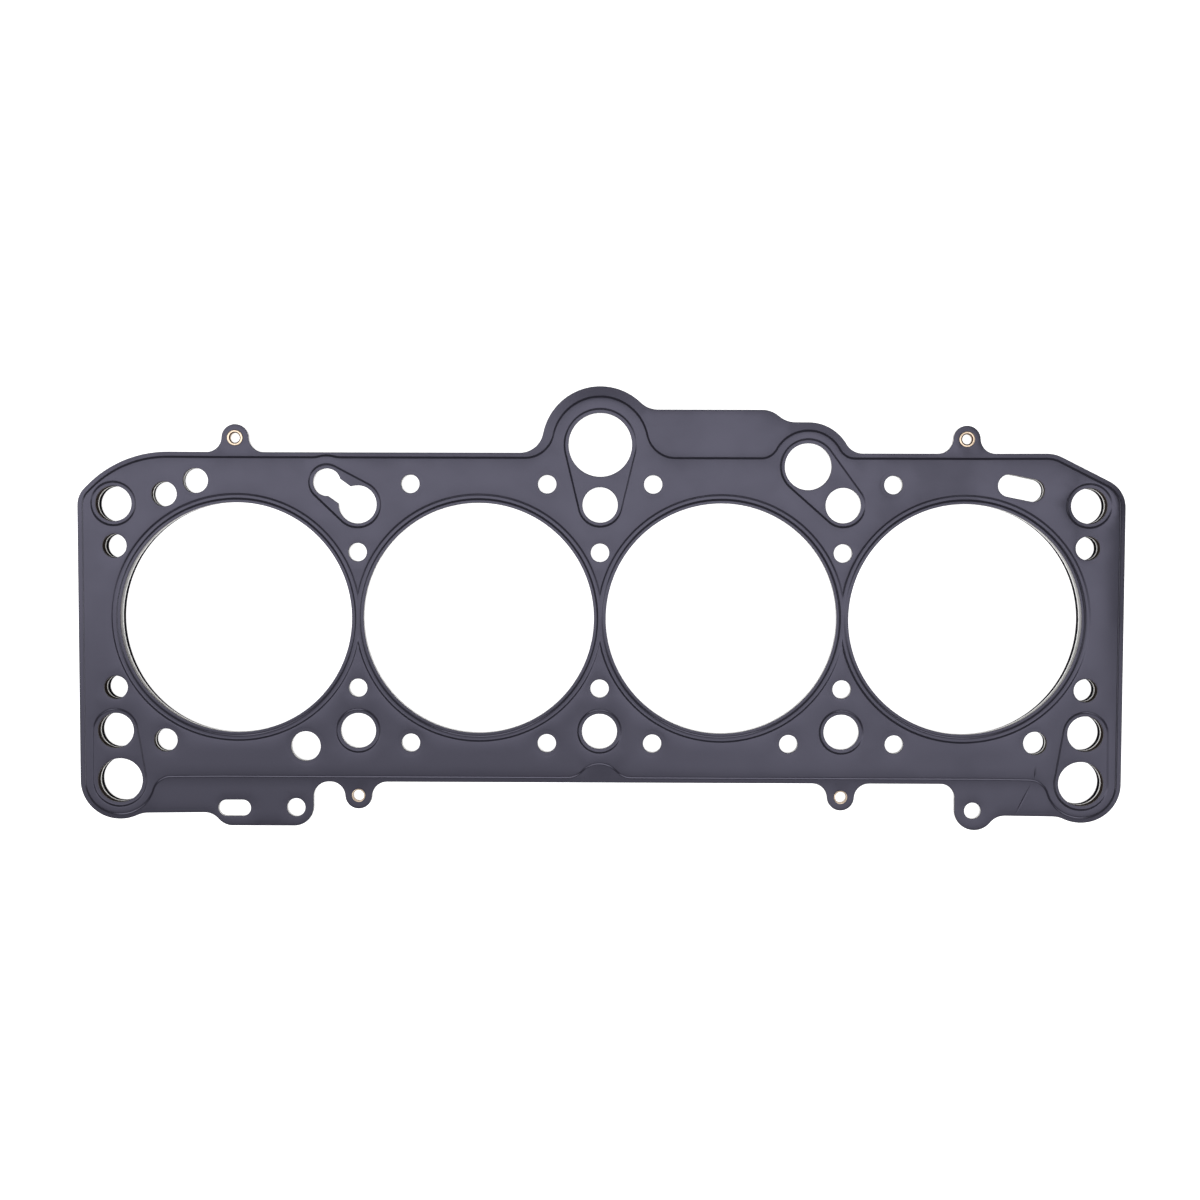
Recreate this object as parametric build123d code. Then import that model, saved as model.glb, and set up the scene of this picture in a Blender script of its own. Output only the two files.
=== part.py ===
from build123d import *
import os
from math import atan2, cos, degrees, hypot, radians, sin, sqrt

os.makedirs("parts", exist_ok=True)

# Multi-layer steel cylinder head gasket for an inline four, in its free, uncompressed state.
# X runs along the bore row, Y towards the intake side with the oil return boss, Z is the cylinder axis.
# The origin is the middle of the head bolt pattern, halfway through the shim.

# Sheets
sheet_t = 0.25          # each embossed, rubber coated outer layer
shim_t = 0.80           # plain centre shim that sets the thickness
bead_h = 0.30           # how far the beads stand before the head is torqued down
ramp = 1.30             # width of each bead flank, seen from above

# Bores
bore_radius = 41.85
bore_web = 4.3              # metal left between neighbouring bores
bore_count = 4
bore_bead_valley = 0.40     # flat bottom of the bore bead, midway between neighbouring bores

# Head bolts, five columns in two rows
bolt_radius = 6.4
bolt_count = 5
bolt_edge = 18.8            # from each bolt row to the long edge beside it

# Body of the plate
half_width = 60.0
end_margin = 12.8           # from the end bolts to the short edges
rim_land = 1.20         # flat margin between the sheared edge and the foot of the rim bead
hole_land = 0.80        # flat margin between a sealed hole and the foot of its bead
nose_drop = 15.8        # how far down the left end the rounded upper corner reaches
nose_radius = 40.0
nose_end_radius = 9.0
chamfer_run = 25.1      # upper right corner, cut off at a shallow angle
chamfer_drop = 13.0
chamfer_radii = (12.0, 10.7)

# Oil holes with their bosses. Rises and drops are measured from the long edge, outwards.
oil_return_rise = 2.9
oil_return_radius = 11.5
oil_return_boss = 21.1
oil_return_bead = 18.0      # foot of the rim bead, which stays well inside this wide boss
oil_return_roots = (8.6, 9.2)
oil_feed_inset = 12.8       # from the bolt beside it, towards the middle
oil_feed_rise = -4.8
oil_feed_radius = 8.45
oil_feed_boss = 16.0
oil_feed_bead = 13.65
oil_feed_root = 6.8
drain_inset = 1.4           # from the end bolt, towards the middle
drain_drop = -0.6
drain_radius = 8.0
drain_boss = 14.2
drain_root = 9.0
drain_bead_root = 6.0

# Vent lobe beside the second bolt, one opening with it
vent_run = 11.15
vent_rise = -10.8
vent_radius = 5.0
vent_bolt_radius = 6.9
vent_neck = 7.6             # width of the waist between the two lobes
vent_hump = 10.3            # the rim bead swings out round this lobe

# Coolant holes. Along the rows a share of 0 is the edge of the bores and 1 the long edge.
coolant_radius = 3.35
coolant_run = 24.8          # from the middle of a bore to the holes on both sides of it
upper_coolant_share = 0.375
lower_coolant_share = 0.205
upper_coolant_end_run = 26.0
web_coolant_shares = (0.58, -0.62)      # of the way from the bore row to each bolt row
end_coolant = [(18.1, 0.16, 4.5), (29.3, 0.43, 4.5)]    # inset from the end bolt, share, radius
left_coolant_share = 0.28
left_coolant_radius = 5.4
side_coolant = [(0.3, 0.63, 4.3), (0.3, -0.617, 4.2)]   # inset, share of the bolt row, radius
low_coolant = (17.9, 0.16, 4.2)
slot_insets = (28.3, 19.85)
slot_shares = (0.366, 0.27)
slot_radius = 4.07

# Arch in the lower rim bead, under the middle bolt
arch_height = 5.1
arch_radius = 8.0

# Marking plate between the two upper oil bosses
plate_rise = 15.65
plate_end_inset = 16.7      # from the middle of the oil feed hole
plate_step_run = 12.0

# Lower pads with their gauge holes. Insets are measured from the end bolts.
pad_drop = 11.45
left_pad_deep_drop = 16.3
left_pad_step_insets = (31.4, 41.8)
left_pad_end_run = 16.5     # from the lower left eyelet
left_pad_corner = 7.1
pad_root = 5.5
gauge_slot_insets = (39.5, 45.5)
gauge_slot_drop = 9.8
gauge_slot_radius = 2.97
left_gauge_inset = 65.1
left_gauge_drop = 9.5
left_gauge_radius = 3.35
right_tab_inset = 39.25
right_tab_drop = 9.6
right_tab_radius = 7.3
right_tab_roots = (5.0, 6.8)
right_gauge_inset = 39.9
right_gauge_drop = 9.8
right_gauge_radius = 3.0

# Eyelets that rivet the three sheets together, each in its own lug
eyelet_upper_shift = 0.4    # outwards from the middle of the end bores
eyelet_upper_rise = 5.2
eyelet_lower_drop = 5.0
lug_radius = 4.9
lug_root = 5.5
eyelet_bore = 1.75
eyelet_wall = 0.30
eyelet_head_radius = 2.80
eyelet_roll_radius = 2.45
eyelet_edge = 0.12          # bevel of the head and of the curled rim
eyelet_fit = 0.05           # slack between the barrel and the sheets

# Spring of the two outer sheets, which spread away from the shim beyond the last eyelets
upper_splay = 3.4           # degrees that each end of the upper sheet stands up
lower_splay = 2.6           # degrees that each end of the lower sheet hangs down
fold_count = 2              # the bend is spread over this many equal folds
fold_gap = 6.0
fold_clear = 0.3            # from the edge of the eyelet head to the first fold

# Worked out from the sizes above
bore_pitch = 2 * bore_radius + bore_web
bore_x = [(i - (bore_count - 1) / 2) * bore_pitch for i in range(bore_count)]
bolt_x = [(i - (bolt_count - 1) / 2) * bore_pitch for i in range(bolt_count)]
bolt_row_y = half_width - bolt_edge
end_x = bolt_x[-1]
half_length = end_x + end_margin
bead_centre = bore_pitch / 2
oil_return_at = (0.0, half_width + oil_return_rise)
oil_feed_at = (bolt_x[-2] - oil_feed_inset, half_width + oil_feed_rise)
drain_at = (end_x - drain_inset, -half_width - drain_drop)
vent_at = (bolt_x[1] - vent_run, half_width + vent_rise)
plate_y = half_width + plate_rise
plate_end_x = oil_feed_at[0] - plate_end_inset
pad_y = -half_width - pad_drop
left_pad_deep_y = -half_width - left_pad_deep_drop
left_pad_step_x = [inset - end_x for inset in left_pad_step_insets]
eyelet_upper_at = (bore_x[-1] + eyelet_upper_shift, half_width + eyelet_upper_rise)
eyelet_lower_at = (bolt_x[-2], -half_width - eyelet_lower_drop)
left_pad_end_x = -eyelet_lower_at[0] - left_pad_end_run
right_tab_at = (end_x - right_tab_inset, -half_width - right_tab_drop)
eyelet_hole = eyelet_bore + eyelet_wall + eyelet_fit
first_fold_x = eyelet_upper_at[0] + eyelet_head_radius + fold_clear
fold_x = [first_fold_x + i * fold_gap for i in range(fold_count)]
overlap = 1.0               # how far helper faces and cutters run into their neighbours
fold_tolerance = 0.001      # within which the two sides of a mitre are joined


def disc(at, radius):
    return Pos(*at) * Circle(radius)


def block_face(x0, y0, x1, y1):
    return Pos((x0 + x1) / 2, (y0 + y1) / 2) * Rectangle(abs(x1 - x0), abs(y1 - y0))


def arc_between(centre, start, end):
    """Short arc about a centre, from one point to another on the same radius."""
    radius = hypot(start[0] - centre[0], start[1] - centre[1])
    mid = ((start[0] + end[0]) / 2 - centre[0], (start[1] + end[1]) / 2 - centre[1])
    reach = radius / hypot(*mid)
    return ThreePointArc(start, (centre[0] + mid[0] * reach, centre[1] + mid[1] * reach), end)


def root(at, radius, edge_y, root_radius, side, out):
    """Concave fillet between a round boss and a straight edge, on one side of the boss."""
    centre_y = edge_y + out * root_radius
    reach = radius + root_radius
    centre_x = at[0] + side * sqrt(reach ** 2 - (centre_y - at[1]) ** 2)
    foot = (centre_x, edge_y)
    share = radius / reach
    touch = (at[0] + (centre_x - at[0]) * share, at[1] + (centre_y - at[1]) * share)
    inner_y = out * (min(out * edge_y, out * at[1]) - overlap)
    path = [arc_between((centre_x, centre_y), foot, touch),
            Polyline(touch, (at[0], inner_y), (centre_x, inner_y), foot)]
    return make_face(Curve() + path)


def lug(at, radius, edge_y, root_radius, out):
    """Round ear on a straight edge, flared into it on both sides."""
    ear = disc(at, radius) + block_face(at[0] - radius / 2, edge_y - out * overlap, at[0] + radius / 2, at[1])
    for side in (-1, 1):
        ear += root(at, radius, edge_y, root_radius, side, out)
    return ear


def inside_corner(x, y, radius, side, out):
    """Concave fillet between an upright edge and a level one."""
    centre = (x + side * radius, y + out * radius)
    level = (centre[0], y)
    upright = (x, centre[1])
    inner = (x - side * overlap, y - out * overlap)
    path = [arc_between(centre, level, upright),
            Polyline(upright, (inner[0], centre[1]), inner, (centre[0], inner[1]), level)]
    return make_face(Curve() + path)


def step_edge(x0, y0, x1, y1):
    """Two equal tangent arcs that lead from one level edge to another."""
    middle = ((x0 + x1) / 2, (y0 + y1) / 2)
    run = x1 - x0
    rise = y1 - y0
    radius = (run ** 2 + rise ** 2) / (4 * rise)
    first = arc_between((x0, y0 + radius), (x0, y0), middle)
    second = arc_between((x1, y1 - radius), middle, (x1, y1))
    return [first, second]


def around(at_a, radius_a, at_b, radius_b):
    """Outline of two discs with a belt laid round them."""
    gap = hypot(at_b[0] - at_a[0], at_b[1] - at_a[1])
    turn = atan2(at_b[1] - at_a[1], at_b[0] - at_a[0])
    lean = (radius_a - radius_b) / gap
    corners = []
    for at, radius, order in ((at_a, radius_a, (1, -1)), (at_b, radius_b, (-1, 1))):
        for side in order:
            along = radius * lean
            across = side * radius * sqrt(1 - lean ** 2)
            corners.append((at[0] + along * cos(turn) - across * sin(turn),
                            at[1] + along * sin(turn) + across * cos(turn)))
    belt = make_face(Polyline(*corners, close=True))
    return disc(at_a, radius_a) + disc(at_b, radius_b) + belt


def body_face():
    """Plate without its bosses, pads and lugs."""
    corners = [
        (-half_length + nose_drop, half_width),
        (-half_length, half_width - nose_drop),
        (-half_length, drain_at[1]),
        (-drain_at[0], -half_width),
        (drain_at[0], -half_width),
        (half_length, drain_at[1]),
        (half_length, half_width - chamfer_drop),
        (half_length - chamfer_run, half_width),
    ]
    radii = [nose_radius, nose_end_radius, 0, 0, 0, 0, chamfer_radii[1], chamfer_radii[0]]
    return make_face(FilletPolyline(*corners, radius=radii, close=True))


def plate_face():
    """Whole stamped outline of one sheet, before its holes."""
    face = body_face()
    for side in (-1, 1):
        drain = (side * drain_at[0], drain_at[1])
        face += disc(drain, drain_boss)
        face += root(drain, drain_boss, pad_y, drain_root, -side, -1)
        face += lug((side * eyelet_upper_at[0], eyelet_upper_at[1]), lug_radius, half_width, lug_root, 1)
        face += lug((side * eyelet_lower_at[0], eyelet_lower_at[1]), lug_radius, -half_width, lug_root, -1)
    face += disc(oil_return_at, oil_return_boss)
    face += root(oil_return_at, oil_return_boss, half_width, oil_return_roots[0], -1, 1)
    face += root(oil_return_at, oil_return_boss, plate_y, oil_return_roots[1], 1, 1)
    face += disc(oil_feed_at, oil_feed_boss)
    face += root(oil_feed_at, oil_feed_boss, half_width, oil_feed_root, 1, 1)
    face += marking_plate_face()
    face += left_pad_face()
    face += right_pad_face()
    return face


def marking_plate_face():
    feed_top = oil_feed_at[1] + oil_feed_boss
    step_end = plate_end_x + plate_step_run
    start = (oil_return_at[0], plate_y)
    path = [Line(start, (plate_end_x, plate_y)), *step_edge(plate_end_x, plate_y, step_end, feed_top),
            Polyline((step_end, feed_top), (oil_feed_at[0], feed_top), oil_feed_at,
                     (oil_return_at[0], oil_feed_at[1]), start)]
    return make_face(Curve() + path)


def left_pad_face():
    step_x0, step_x1 = left_pad_step_x
    end = (left_pad_end_x, left_pad_deep_y + left_pad_corner)
    corner_centre = (left_pad_end_x - left_pad_corner, end[1])
    corner_start = (corner_centre[0], left_pad_deep_y)
    start = (-drain_at[0], pad_y)
    top_y = -half_width + overlap
    path = [Line(start, (step_x0, pad_y)), *step_edge(step_x0, pad_y, step_x1, left_pad_deep_y),
            Line((step_x1, left_pad_deep_y), corner_start), arc_between(corner_centre, corner_start, end),
            Polyline(end, (left_pad_end_x, top_y), (start[0], top_y), start)]
    return make_face(Curve() + path) + inside_corner(left_pad_end_x, -half_width, pad_root, 1, -1)


def right_pad_face():
    left_x = right_tab_at[0] - right_tab_radius
    face = block_face(right_tab_at[0], -half_width + overlap, drain_at[0], pad_y)
    face += block_face(left_x, -half_width + overlap, right_tab_at[0] + overlap, right_tab_at[1])
    face += disc(right_tab_at, right_tab_radius)
    face += inside_corner(left_x, -half_width, right_tab_roots[0], -1, -1)
    face += root(right_tab_at, right_tab_radius, pad_y, right_tab_roots[1], 1, -1)
    return face


def field_face():
    """Foot line of the rim bead, the edge of the raised field inside it."""
    edge_y = half_width - rim_land
    face = offset(body_face(), amount=-rim_land)
    for side in (-1, 1):
        drain = (side * drain_at[0], drain_at[1])
        face += disc(drain, drain_boss - rim_land)
        face += root(drain, drain_boss - rim_land, -edge_y, drain_bead_root, -side, -1)
    face += disc(oil_return_at, oil_return_bead)
    for side in (-1, 1):
        face += root(oil_return_at, oil_return_bead, edge_y, oil_return_roots[0] + rim_land, side, 1)
        face += root(oil_feed_at, oil_feed_bead, edge_y, oil_feed_root - rim_land, side, 1)
        face += root(vent_at, vent_hump, edge_y, vent_hump, side, 1)
    face += disc(oil_feed_at, oil_feed_bead) + disc(vent_at, vent_hump)
    arch_at = (0.0, -edge_y + arch_height - arch_radius)
    return face - lug(arch_at, arch_radius, -edge_y, arch_radius, 1)


def sealed_groups():
    """Outlines, at the foot of the bead, of the hole groups that have a bead of their own."""
    bolt = bolt_radius + hole_land
    drain = drain_radius + hole_land
    groups = []
    for side in (-1, 1):
        groups.append(disc((side * end_x, bolt_row_y), bolt))
        groups.append(disc((side * bolt_x[-2], -bolt_row_y), bolt))
        groups.append(around((side * drain_at[0], drain_at[1]), drain, (side * end_x, -bolt_row_y), bolt))
    groups.append(disc((0.0, -bolt_row_y), bolt))
    groups.append(around(oil_return_at, oil_return_radius + hole_land, (0.0, bolt_row_y), bolt))
    groups.append(around(oil_feed_at, oil_feed_radius + hole_land, (bolt_x[-2], bolt_row_y), bolt))
    vent_bolt_at = (bolt_x[1], bolt_row_y)
    groups.append(around(vent_bolt_at, vent_bolt_radius + hole_land, vent_at, vent_radius + hole_land))
    return groups


def vent_opening():
    """Bolt hole and vent lobe joined by a waisted neck."""
    bolt_at = (bolt_x[1], bolt_row_y)
    turn = degrees(atan2(vent_at[1] - bolt_at[1], vent_at[0] - bolt_at[0]))
    gap = hypot(vent_at[0] - bolt_at[0], vent_at[1] - bolt_at[1])
    neck = Pos(*bolt_at) * Rot(0, 0, turn) * Pos(gap / 2, 0) * Rectangle(gap, vent_neck)
    return disc(bolt_at, vent_bolt_radius) + disc(vent_at, vent_radius) + neck


def beside_bores(share):
    """Distance from the bore row, given as a share of the way from the bores to the long edge."""
    return bore_radius + share * (half_width - bore_radius)


def coolant_holes():
    """Centres and radii of the round coolant holes."""
    upper = beside_bores(upper_coolant_share)
    lower = -beside_bores(lower_coolant_share)
    holes = [(x, share * bolt_row_y, coolant_radius) for x in bolt_x[1:-1] for share in web_coolant_shares]
    holes += [(bore_x[1] + side * coolant_run, upper, coolant_radius) for side in (-1, 1)]
    holes += [(bore_x[i] + side * coolant_run, lower, coolant_radius) for i in (1, 2) for side in (-1, 1)]
    holes.append((bore_x[2] - coolant_run, upper, coolant_radius))
    holes.append((bore_x[-1] - upper_coolant_end_run, upper, coolant_radius))
    holes.append((bore_x[-1] - coolant_run, lower, coolant_radius))
    holes.append((bore_x[0] + coolant_run, -beside_bores(left_coolant_share), left_coolant_radius))
    holes += [(inset - end_x, beside_bores(share), radius) for inset, share, radius in end_coolant]
    for side in (-1, 1):
        for inset, share, radius in side_coolant:
            holes.append((side * (end_x - inset), share * bolt_row_y, radius))
        inset, share, radius = low_coolant
        holes.append((side * (end_x - inset), -beside_bores(share), radius))
    return holes


def openings_face():
    """Every hole of one sheet, as a list of faces."""
    holes = [disc((x, 0.0), bore_radius) for x in bore_x]
    for x in bolt_x:
        holes.append(disc((x, -bolt_row_y), bolt_radius))
        if x != bolt_x[1]:
            holes.append(disc((x, bolt_row_y), bolt_radius))
    holes.append(vent_opening())
    holes.append(disc(oil_return_at, oil_return_radius))
    holes.append(disc(oil_feed_at, oil_feed_radius))
    for side in (-1, 1):
        holes.append(disc((side * drain_at[0], drain_at[1]), drain_radius))
        holes.append(disc((side * eyelet_upper_at[0], eyelet_upper_at[1]), eyelet_hole))
        holes.append(disc((side * eyelet_lower_at[0], eyelet_lower_at[1]), eyelet_hole))
    for x, y, radius in coolant_holes():
        holes.append(disc((x, y), radius))
    slot_ends = [(end_x - inset, beside_bores(share)) for inset, share in zip(slot_insets, slot_shares)]
    holes.append(around(slot_ends[0], slot_radius, slot_ends[1], slot_radius))
    gauge_ends = [(inset - end_x, -half_width - gauge_slot_drop) for inset in gauge_slot_insets]
    holes.append(around(gauge_ends[0], gauge_slot_radius, gauge_ends[1], gauge_slot_radius))
    holes.append(disc((left_gauge_inset - end_x, -half_width - left_gauge_drop), left_gauge_radius))
    holes.append(disc((end_x - right_gauge_inset, -half_width - right_gauge_drop), right_gauge_radius))
    return holes


def drill(solid, low, high):
    """Punch every opening through a sheet that lies between two heights."""
    depth = high - low + 2 * overlap
    cutters = [extrude(Pos(0, 0, low - overlap) * hole, amount=depth) for hole in openings_face()]
    return solid - cutters


def bore_groove():
    """Cutter for the bead round one bore: two flanks and a narrow valley, open upwards."""
    inner = bead_centre - bore_bead_valley / 2
    outer = bead_centre + bore_bead_valley / 2
    top = sheet_t + bead_h
    section = Polyline((inner, sheet_t), (outer, sheet_t), (outer + ramp, top), (outer + ramp, top + overlap),
                       (inner - ramp, top + overlap), (inner - ramp, top), close=True)
    return revolve(Plane.XZ * make_face(section), axis=Axis.Z)


def formed_block():
    """Solid whose top is the upper surface of an embossed sheet that lies on z = 0."""
    top = sheet_t + bead_h
    slab = extrude(Pos(0, 0, -overlap) * plate_face(), amount=overlap + sheet_t)
    field = extrude(Pos(0, 0, -overlap) * field_face(), amount=overlap + top)
    field = chamfer(field.faces().sort_by(Axis.Z)[-1].outer_wire().edges(), length=bead_h, length2=ramp)
    block = slab + field
    for group in sealed_groups():
        outline = offset(group, amount=ramp)
        pocket = extrude(Pos(0, 0, sheet_t) * outline, amount=bead_h + overlap)
        foot = pocket.faces().sort_by(Axis.Z)[0].outer_wire().edges()
        block -= chamfer(foot, length=bead_h, length2=ramp)
    for x in bore_x:
        block -= Pos(x, 0, 0) * bore_groove()
    return block


def folded(sheet, x, side, angle):
    """Bend what lies beyond one line across the sheet upwards, with a mitre at the bend."""
    at = (side * x, 0, sheet_t / 2)
    half = radians(angle) / 2
    mitre = Plane(at, x_dir=(0, 1, 0), z_dir=(side * cos(half), 0, sin(half)))
    mitre_laid_flat = Plane(at, x_dir=(0, 1, 0), z_dir=(side * cos(half), 0, -sin(half)))
    inner = split(sheet, bisect_by=mitre, keep=Keep.BOTTOM)
    end = split(sheet, bisect_by=mitre_laid_flat, keep=Keep.TOP)
    end = Pos(*at) * Rot(0, -side * angle, 0) * Pos(-at[0], 0, -at[2]) * end
    return inner.fuse(end, tol=fold_tolerance)


def outer_layer(splay):
    """Embossed sheet that lies on z = 0, its raised field away from the shim, its ends sprung up."""
    block = formed_block()
    sheet = drill(block - Pos(0, 0, -sheet_t) * block, 0, sheet_t + bead_h)
    for x in reversed(fold_x):
        for side in (-1, 1):
            sheet = folded(sheet, x, side, splay / fold_count)
    return sheet


def centre_shim():
    half = shim_t / 2
    return drill(extrude(plate_face(), amount=half, both=True), -half, half)


def eyelet(head_up):
    """Rolled brass tube: a wide head on one side and a curled rim on the other."""
    half_grip = shim_t / 2 + sheet_t
    half_height = half_grip + bead_h
    section = Polyline((eyelet_bore, -half_height), (eyelet_roll_radius, -half_height),
                       (eyelet_roll_radius, -half_grip), (eyelet_bore + eyelet_wall, -half_grip),
                       (eyelet_bore + eyelet_wall, half_grip), (eyelet_head_radius, half_grip),
                       (eyelet_head_radius, half_height), (eyelet_bore, half_height), close=True)
    body = revolve(Plane.XZ * make_face(section), axis=Axis.Z)
    ends = body.faces().filter_by(Plane.XY).sort_by(Axis.Z)
    body = chamfer(ends[0].edges() + ends[-1].edges(), length=eyelet_edge)
    return body if head_up else Rot(180, 0, 0) * body


def save(shape, name):
    solids = shape.solids()
    export_step(solids[0] if len(solids) == 1 else Compound(solids), f"parts/{name}.step")
    print(name, len(solids), "solid", round(shape.volume, 1), "mm3")


save(Pos(0, 0, shim_t / 2) * outer_layer(upper_splay), "upper_layer")
save(centre_shim(), "centre_shim")
save(Pos(0, 0, -shim_t / 2) * mirror(outer_layer(lower_splay), about=Plane.XY), "lower_layer")
eyelet_places = {
    "eyelet_upper_left": (-eyelet_upper_at[0], eyelet_upper_at[1], True),
    "eyelet_upper_right": (eyelet_upper_at[0], eyelet_upper_at[1], True),
    "eyelet_lower_left": (-eyelet_lower_at[0], eyelet_lower_at[1], False),
    "eyelet_lower_right": (eyelet_lower_at[0], eyelet_lower_at[1], False),
}
for name, (x, y, head_up) in eyelet_places.items():
    save(Pos(x, y, 0) * eyelet(head_up), name)
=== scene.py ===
import bpy
import numpy as np
from math import cos, pi, radians, sin, sqrt
from mathutils import Matrix, Vector
from mathutils.geometry import delaunay_2d_cdt


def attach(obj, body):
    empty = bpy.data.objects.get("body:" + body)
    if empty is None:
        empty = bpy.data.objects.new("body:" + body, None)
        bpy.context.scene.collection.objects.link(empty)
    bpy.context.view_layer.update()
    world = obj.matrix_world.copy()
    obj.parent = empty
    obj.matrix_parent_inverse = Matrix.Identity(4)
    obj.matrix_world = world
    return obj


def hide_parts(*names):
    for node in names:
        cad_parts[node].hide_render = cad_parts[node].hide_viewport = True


# Multi-layer steel head gasket, seen from straight above on a white ground. Lengths are in
# millimetres unless a note says metres; mm() brings them to Blender's metres, in the frame of the
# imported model.

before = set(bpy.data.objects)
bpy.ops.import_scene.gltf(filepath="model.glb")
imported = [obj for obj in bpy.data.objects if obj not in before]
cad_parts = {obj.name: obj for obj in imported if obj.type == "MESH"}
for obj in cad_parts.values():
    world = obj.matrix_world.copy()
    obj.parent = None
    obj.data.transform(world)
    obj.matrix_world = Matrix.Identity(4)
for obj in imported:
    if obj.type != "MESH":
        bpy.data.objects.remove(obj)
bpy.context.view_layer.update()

# Sizes shared by the three sheets
sheets = {
    "layerThickness": 0.25,
    "shimThickness": 0.80,
    "beadHeight": 0.30,
    "beadFlank": 1.30,
    "borePitch": 88.0,
    "boreCount": 4,
    "boreRadius": 41.85,
    "boreBeadValley": 0.40,
    "rimLand": 1.20,
    "holeLand": 0.80,
    "halfLength": 188.8,
    "halfWidth": 60.0,
    "boltRow": 41.2,
    "boltRadius": 6.4,
}


def mm(value):
    return value / 1000


# Outlines are belts laid counterclockwise round discs (x, y, radius); a negative radius lies
# outside the belt and hollows it, a zero radius is a sharp corner.

def rootOf(at, radius, edgeY, rootRadius, side, out):
    # hollow disc that touches a round boss and a level edge
    y = edgeY + out * rootRadius
    return (at[0] + side * sqrt((radius + rootRadius) ** 2 - (y - at[1]) ** 2), y, -rootRadius)


def cornerOf(before, corner, after, radius):
    # disc that rounds one corner of a polygon
    a = Vector(before) - Vector(corner)
    b = Vector(after) - Vector(corner)
    middle = (a.normalized() + b.normalized()).normalized()
    reach = radius / sin(a.angle(b) / 2)
    return (corner[0] + middle[0] * reach, corner[1] + middle[1] * reach, radius)


def stepOf(x0, y0, x1, y1):
    # two equal arcs that lead from one level edge to another, left to right along the bottom
    radius = ((x1 - x0) ** 2 + (y1 - y0) ** 2) / (4 * abs(y1 - y0))
    sign = 1 if y1 > y0 else -1
    return [(x0, y0 + sign * radius, sign * radius), (x1, y1 - sign * radius, -sign * radius)]


# middles of the oil holes, the vent lobe, the eyelets and the right-hand tab
drain = (174.6, -59.4)
oilReturn = (0.0, 62.9)
oilFeed = (75.2, 55.2)
vent = (-99.15, 49.2)
eyeletUpper = (132.4, 65.2)
eyeletLower = (88.0, -65.0)
rightTab = (136.75, -69.6)
# level of the long pads at the lower corners, and of the plate between the oil bosses
padY = -71.45
plateY = 75.65
# radius of each boss on the outline of the sheet, and of the swings of the rim bead, at its foot
bosses = {"drain": 14.2, "oilReturn": 21.1, "oilFeed": 16.0, "rightTab": 7.3}
beadBosses = {"drain": 13.0, "oilReturn": 18.0, "oilFeed": 13.65, "vent": 10.3}
lug = {"radius": 4.9, "flare": 5.5}
openings = {
    "drain": 8.0,
    "oilReturn": 11.5,
    "oilFeed": 8.45,
    "ventBolt": 6.9,       # the bolt hole that opens into the vent lobe
    "ventLobe": 5.0,
    "ventNeck": 7.6,       # width
    "eyelet": 2.1,
}
w = sheets["halfWidth"]
end = sheets["halfLength"]


def lugOf(x, y, edgeY, out):
    # ear with a hollow flare on both sides, in the order of a counterclockwise belt
    radius, flare = lug["radius"], lug["flare"]
    before = rootOf((x, y), radius, edgeY, flare, out, out)
    after = rootOf((x, y), radius, edgeY, flare, -out, out)
    return [before, (x, y, radius), after]


noseCorners = [
    cornerOf((0, w), (-end + 15.8, w), (-end, w - 15.8), 40.0),
    cornerOf((-end + 15.8, w), (-end, w - 15.8), (-end, 0), 9.0),
]
chamferCorners = [
    cornerOf((end, 0), (end, w - 13.0), (end - 25.1, w), 10.7),
    cornerOf((end, w - 13.0), (end - 25.1, w), (0, w), 12.0),
]
leftStep = stepOf(-144.6, padY, -134.2, -76.3)
plateStep = stepOf(58.5, plateY, 70.5, 71.2)
plateOutline = [
    (*drain, bosses["drain"]),
    *chamferCorners,
    *lugOf(*eyeletUpper, w, 1),
    rootOf(oilFeed, bosses["oilFeed"], w, 6.8, 1, 1),
    (*oilFeed, bosses["oilFeed"]),
    (plateStep[1][0], plateStep[1][1], -plateStep[1][2]),
    (plateStep[0][0], plateStep[0][1], -plateStep[0][2]),
    rootOf(oilReturn, bosses["oilReturn"], plateY, 9.2, 1, 1),
    (*oilReturn, bosses["oilReturn"]),
    rootOf(oilReturn, bosses["oilReturn"], w, 8.6, -1, 1),
    *lugOf(-eyeletUpper[0], eyeletUpper[1], w, 1),
    *noseCorners,
    (-drain[0], drain[1], bosses["drain"]),
    rootOf((-drain[0], drain[1]), bosses["drain"], padY, 9.0, 1, -1),
    *leftStep,
    (-111.6, -69.2, 7.1),
    (-99.0, -65.5, -5.5),
    *lugOf(-eyeletLower[0], eyeletLower[1], -w, -1),
    *lugOf(*eyeletLower, -w, -1),
    (124.45, -65.0, -5.0),
    (*rightTab, bosses["rightTab"]),
    rootOf(rightTab, bosses["rightTab"], padY, 6.8, 1, -1),
    rootOf(drain, bosses["drain"], padY, 9.0, -1, -1),
]
edgeY = w - sheets["rimLand"]
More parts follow.
